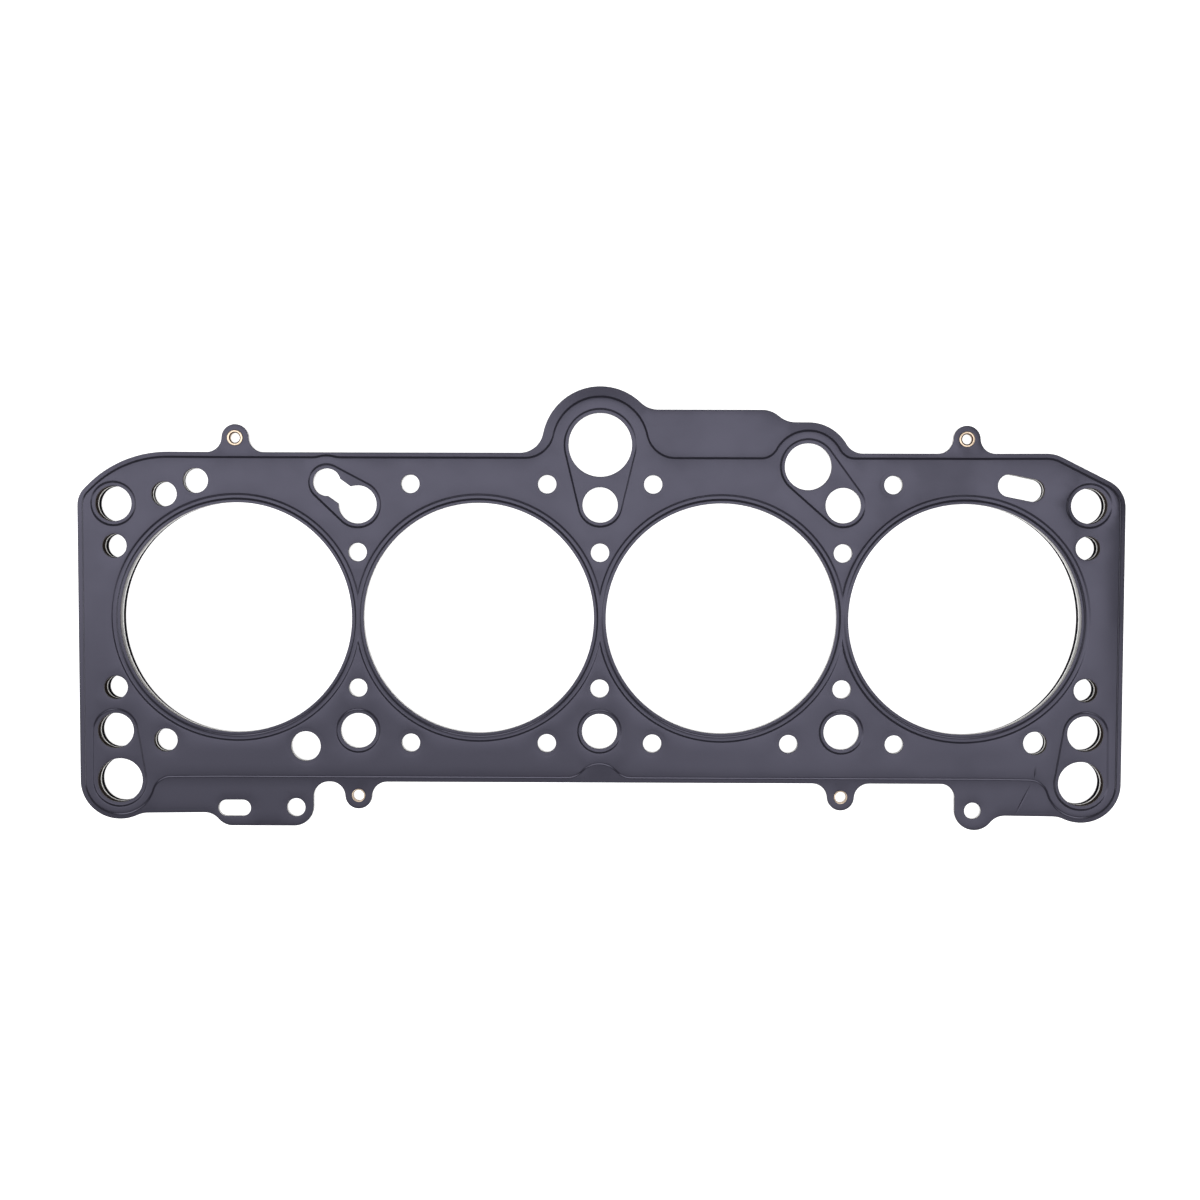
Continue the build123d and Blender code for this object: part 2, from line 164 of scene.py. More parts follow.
fieldOutline = [
    (*drain, beadBosses["drain"]),
    *[(x, y, r - sheets["rimLand"]) for x, y, r in chamferCorners],
    rootOf(oilFeed, beadBosses["oilFeed"], edgeY, 5.6, 1, 1),
    (*oilFeed, beadBosses["oilFeed"]),
    rootOf(oilFeed, beadBosses["oilFeed"], edgeY, 5.6, -1, 1),
    rootOf(oilReturn, beadBosses["oilReturn"], edgeY, 9.8, 1, 1),
    (*oilReturn, beadBosses["oilReturn"]),
    rootOf(oilReturn, beadBosses["oilReturn"], edgeY, 9.8, -1, 1),
    rootOf(vent, beadBosses["vent"], edgeY, 10.3, 1, 1),
    (*vent, beadBosses["vent"]),
    rootOf(vent, beadBosses["vent"], edgeY, 10.3, -1, 1),
    *[(x, y, r - sheets["rimLand"]) for x, y, r in noseCorners],
    (-drain[0], drain[1], beadBosses["drain"]),
    rootOf((-drain[0], drain[1]), beadBosses["drain"], -edgeY, 6.0, 1, -1),
    (-11.713, -50.8, 8.0),
    (0.0, -61.7, -8.0),
    (11.713, -50.8, 8.0),
    rootOf(drain, beadBosses["drain"], -edgeY, 6.0, -1, -1),
]

boltX = [(i - 2) * sheets["borePitch"] for i in range(5)]
boreX = [(i - 1.5) * sheets["borePitch"] for i in range(sheets["boreCount"])]
boltY = sheets["boltRow"]
boltR = sheets["boltRadius"]
land = sheets["holeLand"]


def ventNeck():
    # the two sharp corners on each side where the neck meets the bolt hole and its lobe
    half = openings["ventNeck"] / 2
    along = Vector((vent[0] - boltX[1], vent[1] - boltY))
    gap = along.length
    along.normalize()
    across = Vector((-along.y, along.x))
    nearBolt = sqrt(openings["ventBolt"] ** 2 - half ** 2)
    nearLobe = gap - sqrt(openings["ventLobe"] ** 2 - half ** 2)
    at = Vector((boltX[1], boltY))
    points = [at + along * nearBolt + across * half, at + along * nearLobe + across * half,
              at + along * nearLobe - across * half, at + along * nearBolt - across * half]
    return [(p.x, p.y, 0.0) for p in points]


neck = ventNeck()
ventBolt = (boltX[1], boltY, openings["ventBolt"])
ventLobe = (*vent, openings["ventLobe"])
ventOpening = [ventBolt, neck[3], neck[2], ventLobe, neck[1], neck[0]]


def sealedGroup(holes):
    # round holes that share one bead: the belt at the foot of the bead, and the holes
    return ([(x, y, radius + land) for x, y, radius in holes], [[hole] for hole in holes])


# every hole group that has a bead of its own; the bolt hole and the vent lobe are one opening
sealedGroups = [
    (sealedGroup([ventBolt, ventLobe])[0], [ventOpening]),
    sealedGroup([(*oilReturn, openings["oilReturn"]), (0.0, boltY, boltR)]),
    sealedGroup([(*oilFeed, openings["oilFeed"]), (boltX[3], boltY, boltR)]),
    sealedGroup([(0.0, -boltY, boltR)]),
]
for side in (-1, 1):
    x = side * boltX[4]
    sealedGroups.append(sealedGroup([(x, boltY, boltR)]))
    sealedGroups.append(sealedGroup([(x / 2, -boltY, boltR)]))
    drainHole = (side * drain[0], drain[1], openings["drain"])
    sealedGroups.append(sealedGroup([drainHole, (x, -boltY, boltR)]))


def besideBores(share):
    # distance from the bore row, as a share of the way from the bores to the long edge
    return sheets["boreRadius"] + share * (w - sheets["boreRadius"])


# the round coolant holes and the slot, each with the share of the full collar that fits round it
coolantHoles = [
    ([(-157.9, besideBores(0.16), 4.5)], 0.7),
    ([(-146.7, besideBores(0.43), 4.5)], 0.7),
    ([(-107.2, -besideBores(0.28), 5.4)], 0.9),
    ([(106.0, besideBores(0.375), 3.35)], 1.0),
    ([(107.2, -besideBores(0.205), 3.35)], 1.0),
    ([(19.2, besideBores(0.375), 3.35)], 1.0),
    ([(147.7, besideBores(0.366), 4.07), (156.15, besideBores(0.27), 4.07)], 0.5),
]
for side in (-1, 1):
    coolantHoles.append(([(side * 175.7, 0.63 * boltY, 4.3)], 0.4))
    coolantHoles.append(([(side * 175.7, -0.617 * boltY, 4.2)], 0.35))
    coolantHoles.append(([(side * 158.1, -besideBores(0.16), 4.2)], 0.8))
    coolantHoles.append(([(boreX[1] + side * 24.8, besideBores(0.375), 3.35)], 1.0))
    coolantHoles += [([(x + side * 24.8, -besideBores(0.205), 3.35)], 1.0) for x in boreX[1:3]]
coolantHoles += [([(x, share * boltY, 3.35)], 0.5) for x in boltX[1:4] for share in (0.58, -0.62)]

# the slot and the two round holes in the pads and the tab
gaugeHoles = [
    [(-136.5, -69.8, 2.97), (-130.5, -69.8, 2.97)],
    [(-110.9, -69.5, 3.35)],
    [(136.1, -69.8, 3.0)],
]
# each eyelet: its middle, 1 if its head is on top or -1 if below, and the node that it stands for
eyeletPlaces = {
    "eyeletUpperLeft": (-eyeletUpper[0], eyeletUpper[1], 1, "eyelet_upper_left"),
    "eyeletUpperRight": (eyeletUpper[0], eyeletUpper[1], 1, "eyelet_upper_right"),
    "eyeletLowerLeft": (-eyeletLower[0], eyeletLower[1], -1, "eyelet_lower_left"),
    "eyeletLowerRight": (eyeletLower[0], eyeletLower[1], -1, "eyelet_lower_right"),
}
eyeletHoles = [[(x, y, openings["eyelet"])] for x, y, head, node in eyeletPlaces.values()]

# Paths
paths = {
    "arcError": 0.012,     # how far a chord may leave its arc
    "longestArcStep": 1.6,
    "lineStep": 3.0,
    "leastGap": 1e-4,
    "boreSteps": 220,
    "webSteps": 90,        # on each arc of the chain of bores between two webs
    "endSteps": 150,       # on the long arc round each end bore
    "landRow": 0.6,        # share of the land beside a bore at which it has a row of points
}


def onArcs(radius, turn):
    # number of steps that keeps the chords close to an arc
    step = min(paths["longestArcStep"], sqrt(8 * max(radius, 0.05) * paths["arcError"]))
    return max(2, int(np.ceil(abs(turn) * radius / step)))


def belt(discs):
    # A belt laid counterclockwise round discs. On a disc, point = centre + radius (cos a, sin a);
    # between two discs it is a straight line. Returns the points and the directions in which they
    # move when the belt grows: grown point = point + growth * direction.
    discs = np.array(discs, float)
    if len(discs) == 1:
        x, y, r = discs[0]
        a = np.linspace(0, 2 * pi, max(16, onArcs(r, 2 * pi)), endpoint=False)
        out = np.column_stack((np.cos(a), np.sin(a)))
        return discs[0, :2] + r * out, out
    onwards = np.roll(discs, -1, axis=0) - discs
    gap = np.hypot(onwards[:, 0], onwards[:, 1])
    leave = np.arctan2(onwards[:, 1], onwards[:, 0]) - np.arccos(np.clip(-onwards[:, 2] / gap, -1, 1))
    arrive = np.roll(leave, 1)
    # the arc on each disc, or one point with a mitred direction where the radius is zero
    points, ways = [], []
    for (x, y, r), a0, a1 in zip(discs, arrive, leave):
        turn = (a1 - a0) % (2 * pi)
        if turn > 2 * pi - 1e-6:
            turn = 0.0
        if r < 0:
            turn = -((-turn) % (2 * pi))
        if r == 0:
            turn = (turn + pi) % (2 * pi) - pi
            way = np.array([[cos(a0 + turn / 2), sin(a0 + turn / 2)]]) / cos(turn / 2)
            points.append(np.array([[x, y]]))
            ways.append(way)
        else:
            a = np.linspace(a0, a0 + turn, onArcs(abs(r), turn) + 1)
            way = np.column_stack((np.cos(a), np.sin(a)))
            points.append(np.array([[x, y]]) + r * way)
            ways.append(way)
    # the arcs joined by straight runs
    allPoints, allWays = [], []
    for i, (p, n) in enumerate(zip(points, ways)):
        allPoints.append(p)
        allWays.append(n)
        nextPoint = points[(i + 1) % len(points)][0]
        far = np.linalg.norm(nextPoint - p[-1])
        steps = int(np.ceil(far / paths["lineStep"]))
        if steps > 1:
            t = np.linspace(0, 1, steps + 1)[1:-1, None]
            allPoints.append(p[-1] + t * (nextPoint - p[-1]))
            way = np.array([cos(leave[i]), sin(leave[i])])
            allWays.append(np.repeat(way[None, :], steps - 1, axis=0))
    at = np.vstack(allPoints)
    out = np.vstack(allWays)
    # a point that falls on the one before it is left out
    keep = np.linalg.norm(at - np.roll(at, 1, axis=0), axis=1) > paths["leastGap"]
    return at[keep], out[keep]


def boreChain(radius):
    # Outline of the row of discs of one radius about the bores, one loop with a cusp at each web:
    # point = bore + radius (cos a, sin a), on the part of each circle that no other disc covers.
    pitch = sheets["borePitch"]
    cusp = np.arccos(min(1.0, pitch / 2 / radius))
    short = np.linspace(cusp, pi - cusp, paths["webSteps"], endpoint=False)
    long = np.linspace(-pi + cusp, pi - cusp, paths["endSteps"], endpoint=False)
    arcs = [(boreX[3], long)] + [(boreX[i], short) for i in (2, 1)]
    arcs += [(boreX[0], long + pi)] + [(boreX[i], short + pi) for i in (1, 2)]
    return np.vstack([np.column_stack((x + radius * np.cos(a), radius * np.sin(a))) for x, a in arcs])


# Surfaces
def newSheet():
    return {"at": [], "high": [], "cut": [], "quads": [], "tris": [], "walls": [], "count": 0}


def addLoop(sheet, at, high, cut=0.0):
    # a closed loop of points, or a net of loose ones, at one height above the low land of the sheet
    count = len(at)
    sheet["at"].append(at)
    sheet["high"].append(np.full(count, float(high)))
    sheet["cut"].append(np.full(count, float(cut)))
    loop = np.arange(sheet["count"], sheet["count"] + count)
    sheet["count"] += count
    return loop


def addStrip(sheet, inner, outer):
    # quads between two loops that have the same number of points
    sheet["quads"].append(np.column_stack((inner, outer, np.roll(outer, -1), np.roll(inner, -1))))


def addProfile(sheet, path, reaches, heights, cuts=None):
    # A profile carried along a path: point(u, v) = path(u) + reach(v) * way(u), at height(v)
    # above the land. The reaches grow outwards; gives back the loops, innermost first.
    at, way = path
    cuts = np.zeros(len(reaches)) if cuts is None else cuts
    rows = zip(reaches, heights, cuts)
    loops = [addLoop(sheet, at + reach * way, high, cut) for reach, high, cut in rows]
    for inner, outer in zip(loops, loops[1:]):
        addStrip(sheet, inner, outer)
    return loops


def insideOf(points, loop):
    # even and odd crossings of a level ray, for all points at once
    x, y = points[:, 0, None], points[:, 1, None]
    x0, y0 = loop[:, 0], loop[:, 1]
    x1, y1 = np.roll(x0, -1), np.roll(y0, -1)
    level = np.where(y1 == y0, 1.0, y1 - y0)
    crossing = ((y0 > y) != (y1 > y)) & (x < x0 + (y - y0) / level * (x1 - x0))
    return crossing.sum(axis=1) % 2 == 1


def addFlat(sheet, outer, inners, high, spacing):
    # Flat ground between one loop and the loops inside it, with a net of loose points between them,
    # filled with Delaunay triangles that keep to the loops
    at = np.vstack(sheet["at"])
    loops = [outer] + inners
    low, top = at[outer].min(axis=0), at[outer].max(axis=0)
    xs = np.arange(low[0] + spacing / 2, top[0], spacing)
    ys = np.arange(low[1] + spacing / 2, top[1], spacing)
    net = np.array(np.meshgrid(xs, ys)).reshape(2, -1).T
    net = net[insideOf(net, at[outer])]
    for loop in inners:
        net = net[~insideOf(net, at[loop])]
    ends = at[np.concatenate(loops)]
    near = np.array([((ends - p) ** 2).sum(axis=1).min() for p in net]) if len(net) else np.zeros(0)
    net = net[near > (0.5 * spacing) ** 2]
    start = sheet["count"]
    if len(net):
        addLoop(sheet, net, high)
    index = np.concatenate(loops + [np.arange(start, start + len(net))])
    borders = []
    offset = 0
    for loop in loops:
        run = np.arange(offset, offset + len(loop))
        borders += list(zip(run.tolist(), np.roll(run, -1).tolist()))
        offset += len(loop)
    corners = [Vector(p) for p in np.vstack((ends, net)).tolist()]
    filled = delaunay_2d_cdt(corners, borders, [], 1, 1e-5)
    origin = [o[0] if o else -1 for o in filled[3]]
    if -1 in origin:
        print("warning: the fill made", origin.count(-1), "points of its own")
    faces = index[np.array([[origin[i] for i in face] for face in filled[2]])]
    middle = sum(cornersOf(sheet, faces)) / 3
    ground = insideOf(middle, at[outer])
    for loop in inners:
        ground &= ~insideOf(middle, at[loop])
    faces = faces[ground]
    a, b, c = cornersOf(sheet, faces)
    turned = (b[:, 0] - a[:, 0]) * (c[:, 1] - a[:, 1]) - (b[:, 1] - a[:, 1]) * (c[:, 0] - a[:, 0]) < 0
    faces[turned] = faces[turned][:, ::-1]
    sheet["tris"].append(faces)


def cornersOf(sheet, faces):
    # the three corners of each triangle, as arrays of points
    at = np.vstack(sheet["at"])
    return at[faces[:, 0]], at[faces[:, 1]], at[faces[:, 2]]


edges = {
    "reach": [0.0, 0.03, 0.08, 0.16],    # from the sheared edge inwards
    "drop": [0.07, 0.03, 0.008, 0.0],    # roll-over that the punch leaves
}


def addHole(sheet, discs, high):
    # punched hole: the loops from its sheared edge out to flat ground; the last one is given back
    reach = np.array(edges["reach"])
    loops = addProfile(sheet, belt(discs), reach, high - np.array(edges["drop"]), [1, 0, 0, 0])
    sheet["walls"].append(loops[0][::-1])
    return loops[-1]


# flat: share of the flank's width that is level, at its foot and again at its top
flanks = {"rows": 8, "flat": 0.15}


def rise():
    # Smooth flank from 0 to 1: height = (1 - cos(pi s)) / 2, where s runs over the part between the
    # two level ones. Gives back the places of the rows and their heights.
    s = np.linspace(0, 1, flanks["rows"])
    return flanks["flat"] + (1 - 2 * flanks["flat"]) * s, (1 - np.cos(pi * s)) / 2


# mm between the loose points on flat ground
fillSteps = {"rim": 4.0, "group": 2.5, "valley": 50.0, "field": 5.0}
# two shallow steps that the seal leaves round a coolant hole: reach from its edge, and depth
# under the field; no row lies nearer to the edge than leastReach
collar = {
    "reach": [0.35, 0.60, 0.85, 1.25, 1.55, 1.85],
    "sink": [0.060, 0.048, 0.036, 0.036, 0.018, 0.0],
    "leastReach": 0.2,
}


def addBoreBeads(sheet):
    # The land and the inner flank of each bead, the valleys between them, and one outer flank that
    # runs round the whole row of bores; gives back its last loop.
    top = sheets["beadHeight"]
    flank = sheets["beadFlank"]
    t, up = rise()
    inner = sheets["borePitch"] / 2 - sheets["boreBeadValley"] / 2
    outer = inner + sheets["boreBeadValley"]
    landEdge = inner - flank - sheets["boreRadius"]
    angle = np.linspace(0, 2 * pi, paths["boreSteps"], endpoint=False)
    way = np.column_stack((np.cos(angle), np.sin(angle)))
    landRow = landEdge * paths["landRow"]
    reaches = np.concatenate((edges["reach"], [landRow], landEdge + flank * t))
    heights = np.concatenate((top - np.array(edges["drop"]), [top], top * up[::-1]))
    valleys = []
    for x in boreX:
        ring = (np.array([[x, 0.0]]) + sheets["boreRadius"] * way, way)
        loops = addProfile(sheet, ring, reaches, heights, [1] + [0] * (len(reaches) - 1))
        sheet["walls"].append(loops[0][::-1])
        valleys.append(loops[-1])
    chain = [addLoop(sheet, boreChain(outer + flank * step), top * high) for step, high in zip(t, up)]
    for a, b in zip(chain, chain[1:]):
        addStrip(sheet, a, b)
    addFlat(sheet, chain[0], valleys, 0.0, fillSteps["valley"])
    return chain[-1]


def addCoolantHole(sheet, hole, spread):
    # punched hole in the raised field with its collar; gives back the loop where the collar ends
    top = sheets["beadHeight"]
    sink = np.array(collar["sink"]) * spread
    around = np.maximum(np.array(collar["reach"]) * spread, collar["leastReach"])
    reaches = np.concatenate((edges["reach"], around))
    heights = top - np.concatenate((np.array(edges["drop"]) + sink[0], sink))
    loops = addProfile(sheet, belt(hole), reaches, heights, [1] + [0] * (len(reaches) - 1))
    sheet["walls"].append(loops[0][::-1])
    return loops[-1]


def embossedSheet():
    # One outer layer, flat on its land, with all its beads and openings
    sheet = newSheet()
    top = sheets["beadHeight"]
    flank = sheets["beadFlank"]
    t, up = rise()
    # outer edge, inwards: the profile runs from inside to outside
    reach = -np.array(edges["reach"])[::-1]
    rim = addProfile(sheet, belt(plateOutline), reach, -np.array(edges["drop"])[::-1], [0, 0, 0, 1])
    sheet["walls"].append(rim[-1])
    # rim bead
    foot = addProfile(sheet, belt(fieldOutline), -flank * t[::-1], top * up[::-1])
    lowHoles = [addHole(sheet, hole, 0.0) for hole in gaugeHoles + eyeletHoles]
    addFlat(sheet, rim[0], [foot[-1]] + lowHoles, 0.0, fillSteps["rim"])
    fieldInners = []
    # bead round each group, and the low land between it and its holes
    for outline, holes in sealedGroups:
        bead = addProfile(sheet, belt(outline), flank * t, top * up)
        groupHoles = [addHole(sheet, hole, 0.0) for hole in holes]
        addFlat(sheet, bead[0], groupHoles, 0.0, fillSteps["group"])
        fieldInners.append(bead[-1])
    fieldInners.append(addBoreBeads(sheet))
    for hole, spread in coolantHoles:
        fieldInners.append(addCoolantHole(sheet, hole, spread))
    addFlat(sheet, foot[0], fieldInners, top, fillSteps["field"])
    return sheet


springs = {"from": 135.3, "to": 141.7}


def sprung(x, high, splay):
    # The ends of the sheet leave the flat through an arc and go on straight:
    # angle = turn * clip((|x| - from) / (to - from), 0, 1); a point keeps its height over the sheet.
    turn = radians(splay)
    start, stop = springs["from"], springs["to"]
    along = np.clip((np.abs(x) - start) / (stop - start), 0, 1)
    beyond = np.maximum(np.abs(x) - stop, 0)
    angle = turn * along
    radius = (stop - start) / turn
    run = np.minimum(np.abs(x), start) + radius * np.sin(angle) + beyond * np.cos(turn)
    lift = radius * (1 - np.cos(angle)) + beyond * np.sin(turn)
    return np.sign(x) * (run - high * np.sin(angle)), lift + high * np.cos(angle)


def smoothMesh(name, at, quads, tris, walls, marks, sharp=35):
    # mesh of these points and faces, smooth but for its sharp edges; marks are kept at its points
    mesh = bpy.data.meshes.new(name)
    faces = quads + tris + walls
    flat = np.concatenate([f.ravel() for f in faces])
    sizes = np.concatenate([np.full(len(f), f.shape[1]) for f in faces])
    mesh.vertices.add(len(at))
    mesh.vertices.foreach_set("co", at.astype(np.float32).ravel())
    mesh.loops.add(len(flat))
    mesh.loops.foreach_set("vertex_index", flat.astype(np.int32))
    mesh.polygons.add(len(sizes))
    starts = np.concatenate(([0], np.cumsum(sizes)[:-1]))
    mesh.polygons.foreach_set("loop_start", starts.astype(np.int32))
    mesh.polygons.foreach_set("use_smooth", np.ones(len(sizes), bool))
    mesh.update(calc_edges=True)
    mesh.validate()
    mesh.set_sharp_from_angle(angle=radians(sharp))
    for mark, values in marks.items():
        kept = mesh.attributes.new(mark, "FLOAT", "POINT")
        kept.data.foreach_set("value", values.astype(np.float32))
    piece = bpy.data.objects.new(name, mesh)
    bpy.context.scene.collection.objects.link(piece)
    return piece


def turnedIf(turn, faces):
    # the same faces, turned over if turn is true
    return [f[:, ::-1] if turn else f for f in faces]


def closedSheet(name, sheet, side, splay):
    # Upper face, the same points one thickness lower, and the sheared walls between the two; side is
    # 1 for the sheet above the shim and -1 for its mirror image below.
    xy = np.vstack(sheet["at"])
    high = np.concatenate(sheet["high"]) + sheets["layerThickness"]
    cut = np.concatenate(sheet["cut"])
    count = len(xy)
    rows = []
    for thick in (0.0, sheets["layerThickness"]):
        x, z = sprung(xy[:, 0], high - thick, splay)
        rows.append(np.column_stack((x, xy[:, 1], side * (z + sheets["shimThickness"] / 2))))
    at = mm(np.vstack(rows))
    walls = []
    for loop in sheet["walls"]:
        nextOne = np.roll(loop, -1)
        walls.append(np.column_stack((loop, loop + count, nextOne + count, nextOne)))
    mirrored = side < 0
    quads, tris = [
        turnedIf(mirrored, sheet[kind]) + turnedIf(not mirrored, [f + count for f in sheet[kind]])
        for kind in ("quads", "tris")
    ]
    marks = {"cutEdge": np.concatenate((cut, cut))}
    return smoothMesh(name, at, quads, tris, turnedIf(mirrored, walls), marks)


# Materials
def linear(code):
    # sRGB hex to the linear colour that the shaders use
    parts = np.array([int(code[i:i + 2], 16) for i in (1, 3, 5)]) / 255
    light = np.where(parts <= 0.04045, parts / 12.92, ((parts + 0.055) / 1.055) ** 2.4)
    return (*[float(c) for c in light], 1.0)


def newMaterial(name):
    material = bpy.data.materials.new(name)
    material.use_nodes = True
    material.node_tree.nodes.clear()
    return material, material.node_tree


def addNode(tree, kind, links=None, values=None, **settings):
    # one node with its settings, its plain values and what is linked into it
    node = tree.nodes.new(kind)
    for key, value in settings.items():
        setattr(node, key, value)
    for key, value in (values or {}).items():
        node.inputs[key].default_value = value
    for key, source in (links or {}).items():
        tree.links.new(source, node.inputs[key])
    return node


coating = {
    "colour": "#1e1d24",
    "worn": "#24232b",
    "sheen": "#e1defc",
    "index": 1.55,
    "roughness": 0.22,
    "smoother": 0.04,    # how far the roughness falls and grows over the plate
    "rougher": 0.05,
    # bare sheared steel; its dark brown is partly painted shade of the gaps between the sheets
    "steel": "#352a27",
    "steelRoughness": 0.35,
    "shearedFrom": 0.7,  # of the cutEdge mark: 1 on the sheared edge, 0 one row further in
    "peel": 0.8,         # mm, the fine orange peel of the cured rubber
    "peelDepth": 0.01,   # mm
    "mottle": 18.0,      # mm, slow change of gloss over the plate
    # handling creases by the right-hand tab: middle x, y, turn in degrees, half length
    "creases": [(154.05, -65.7, -25.6, 6.5), (158.3, -55.9, -4.0, 3.0)],
    "creaseWidth": 0.4,
    "creaseDepth": 0.10,
}


def coatedSteel():
    # Nitrile rubber roller-coated on spring steel, 25 microns thick: near black, with a soft even
    # sheen from the fine peel of the cured film. Where the blank was sheared, the steel is bare and
    # dull; its dark brown is partly the cut edge's own colour and partly painted shade of the gaps
    # between the sheets.
    material, tree = newMaterial("nitrileCoatedSteel")
    where = addNode(tree, "ShaderNodeTexCoord")
    mottle = addNode(tree, "ShaderNodeTexNoise", {"Vector": where.outputs["Object"]},
                     {"Scale": 1000 / coating["mottle"], "Detail": 3.0, "Roughness": 0.55})
    tint = addNode(tree, "ShaderNodeMix", {"Factor": mottle.outputs["Fac"]}, data_type="RGBA")
    tint.inputs["A"].default_value = linear(coating["colour"])
    tint.inputs["B"].default_value = linear(coating["worn"])
    gloss = addNode(tree, "ShaderNodeMapRange", {"Value": mottle.outputs["Fac"]},
                    {"From Min": 0.3, "From Max": 0.7,
                     "To Min": coating["roughness"] - coating["smoother"],
                     "To Max": coating["roughness"] + coating["rougher"]})
    peel = addNode(tree, "ShaderNodeTexNoise", {"Vector": where.outputs["Object"]},
                   {"Scale": 1000 / coating["peel"], "Detail": 4.0, "Roughness": 0.6})
    bump = addNode(tree, "ShaderNodeBump", {"Height": peel.outputs["Fac"]},
                   {"Strength": 0.15, "Distance": mm(coating["peelDepth"])})
    for x, y, turn, halfLength in coating["creases"]:
        along = addNode(tree, "ShaderNodeMapping", {"Vector": where.outputs["Object"]}, {
            "Location": (mm(x), mm(y), 0.0), "Rotation": (0.0, 0.0, radians(turn)),
            "Scale": (mm(coating["creaseWidth"]), mm(halfLength), 1.0)}, vector_type="TEXTURE")
        groove = addNode(tree, "ShaderNodeTexGradient", {"Vector": along.outputs["Vector"]},
                         gradient_type="SPHERICAL")
        bump = addNode(tree, "ShaderNodeBump",
                       {"Height": groove.outputs["Fac"], "Normal": bump.outputs["Normal"]},
                       {"Strength": 1.0, "Distance": mm(coating["creaseDepth"])}, invert=True)
    film = addNode(tree, "ShaderNodeBsdfPrincipled",
                   {"Base Color": tint.outputs[2], "Roughness": gloss.outputs["Result"],
                    "Normal": bump.outputs["Normal"]},
                   {"IOR": coating["index"], "Specular Tint": linear(coating["sheen"])})
    bare = addNode(tree, "ShaderNodeBsdfPrincipled", None,
                   {"Base Color": linear(coating["steel"]), "Metallic": 1.0,
                    "Roughness": coating["steelRoughness"]})
    # sheared edge: bare steel, painted dark partly as the shade in the gaps between the sheets
    cut = addNode(tree, "ShaderNodeAttribute", attribute_name="cutEdge")
    sheared = addNode(tree, "ShaderNodeMath", {0: cut.outputs["Fac"]}, {1: coating["shearedFrom"]},
                      operation="GREATER_THAN")
    both = addNode(tree, "ShaderNodeMixShader",
                   {0: sheared.outputs[0], 1: film.outputs[0], 2: bare.outputs[0]})
    addNode(tree, "ShaderNodeOutputMaterial", {"Surface": both.outputs[0]})
    return material


shimSteel = {
    # bright bare steel on the sheared walls, and painted light on the rings round the bores
    "edgeAndPaintedLight": "#fbfaf8",
    # painted shade of the gaps between the sheets, on the rest of the faces
    "paintedGapShade": "#3a302c",
    # the ring round each bore is painted light
    "ring": 46.0,            # mm from the middle of a bore to the end of its bright ring
    "metal": 0.1,
    "roughness": 0.5,
    "smoother": 0.06,        # how far the roughness falls and grows from line to line
    "rougher": 0.1,
    "grainLength": 14.0,     # mm, the fine lines of the rolling, along the bore row
    "grainWidth": 0.12,
    "wallBelow": 0.5,        # a face whose normal rises less than this is a sheared wall
}


def shimEdgesAndPaintedLight(tree, where):
    # 1 on the sheared walls and on the rings of painted light round the bores, 0 on the rest of the
    # faces, which take the painted shade of the gaps
    normal = addNode(tree, "ShaderNodeSeparateXYZ", {"Vector": where.outputs["Normal"]})
    upright = addNode(tree, "ShaderNodeMath", {0: normal.outputs["Z"]}, operation="ABSOLUTE")
    edgeAndPaintedLight = addNode(tree, "ShaderNodeMath", {0: upright.outputs[0]}, {1: shimSteel["wallBelow"]},
                     operation="LESS_THAN")
    reach = mm(shimSteel["ring"])
    for x in boreX:
        ring = addNode(tree, "ShaderNodeMapping", {"Vector": where.outputs["Object"]},
                       {"Location": (mm(x), 0.0, 0.0), "Scale": (reach, reach, 1.0)},
                       vector_type="TEXTURE")
        disc = addNode(tree, "ShaderNodeTexGradient", {"Vector": ring.outputs["Vector"]},
                       gradient_type="SPHERICAL")
        inside = addNode(tree, "ShaderNodeMath", {0: disc.outputs["Fac"]}, {1: 0.0},
                         operation="GREATER_THAN")
        edgeAndPaintedLight = addNode(tree, "ShaderNodeMath", {0: edgeAndPaintedLight.outputs[0], 1: inside.outputs[0]},
                         operation="MAXIMUM")
    return edgeAndPaintedLight


def rolledSteel():
    # Cold-rolled stainless strip with fine lines along the rolling direction, rough enough to scatter
    # the light. Its faces are painted dark as the shade of the gaps between the sheets; the sheared
    # edges are bright bare steel, and the rings sized round the bores are painted near white as light
    # that reaches the gaps there.
    material, tree = newMaterial("coldRolledStainless")
    where = addNode(tree, "ShaderNodeTexCoord")
    lay = addNode(tree, "ShaderNodeMapping", {"Vector": where.outputs["Object"]},
                  {"Scale": (1000 / shimSteel["grainLength"], 1000 / shimSteel["grainWidth"], 1.0)})
    lines = addNode(tree, "ShaderNodeTexNoise", {"Vector": lay.outputs["Vector"]},
                    {"Scale": 1.0, "Detail": 3.0})
    gloss = addNode(tree, "ShaderNodeMapRange", {"Value": lines.outputs["Fac"]},
                    {"To Min": shimSteel["roughness"] - shimSteel["smoother"],
                     "To Max": shimSteel["roughness"] + shimSteel["rougher"]})
    # bare edges and painted light round the bores; painted shade of the gaps on the rest
    edgeAndPaintedLight = shimEdgesAndPaintedLight(tree, where)
    tint = addNode(tree, "ShaderNodeMix", {"Factor": edgeAndPaintedLight.outputs[0]}, data_type="RGBA")
    tint.inputs["A"].default_value = linear(shimSteel["paintedGapShade"])
    tint.inputs["B"].default_value = linear(shimSteel["edgeAndPaintedLight"])
    steel = addNode(tree, "ShaderNodeBsdfPrincipled",
                    {"Base Color": tint.outputs[2], "Roughness": gloss.outputs["Result"]},
                    {"Metallic": shimSteel["metal"]})
    addNode(tree, "ShaderNodeOutputMaterial", {"Surface": steel.outputs[0]})
    return material


brass = {
    "colour": "#dac8b6",
    "dull": "#c6b096",
    "shaded": "#38231a",
    "roughness": 0.34,
    "stain": 1.5,    # mm, the cloudy tarnish on the crest
}


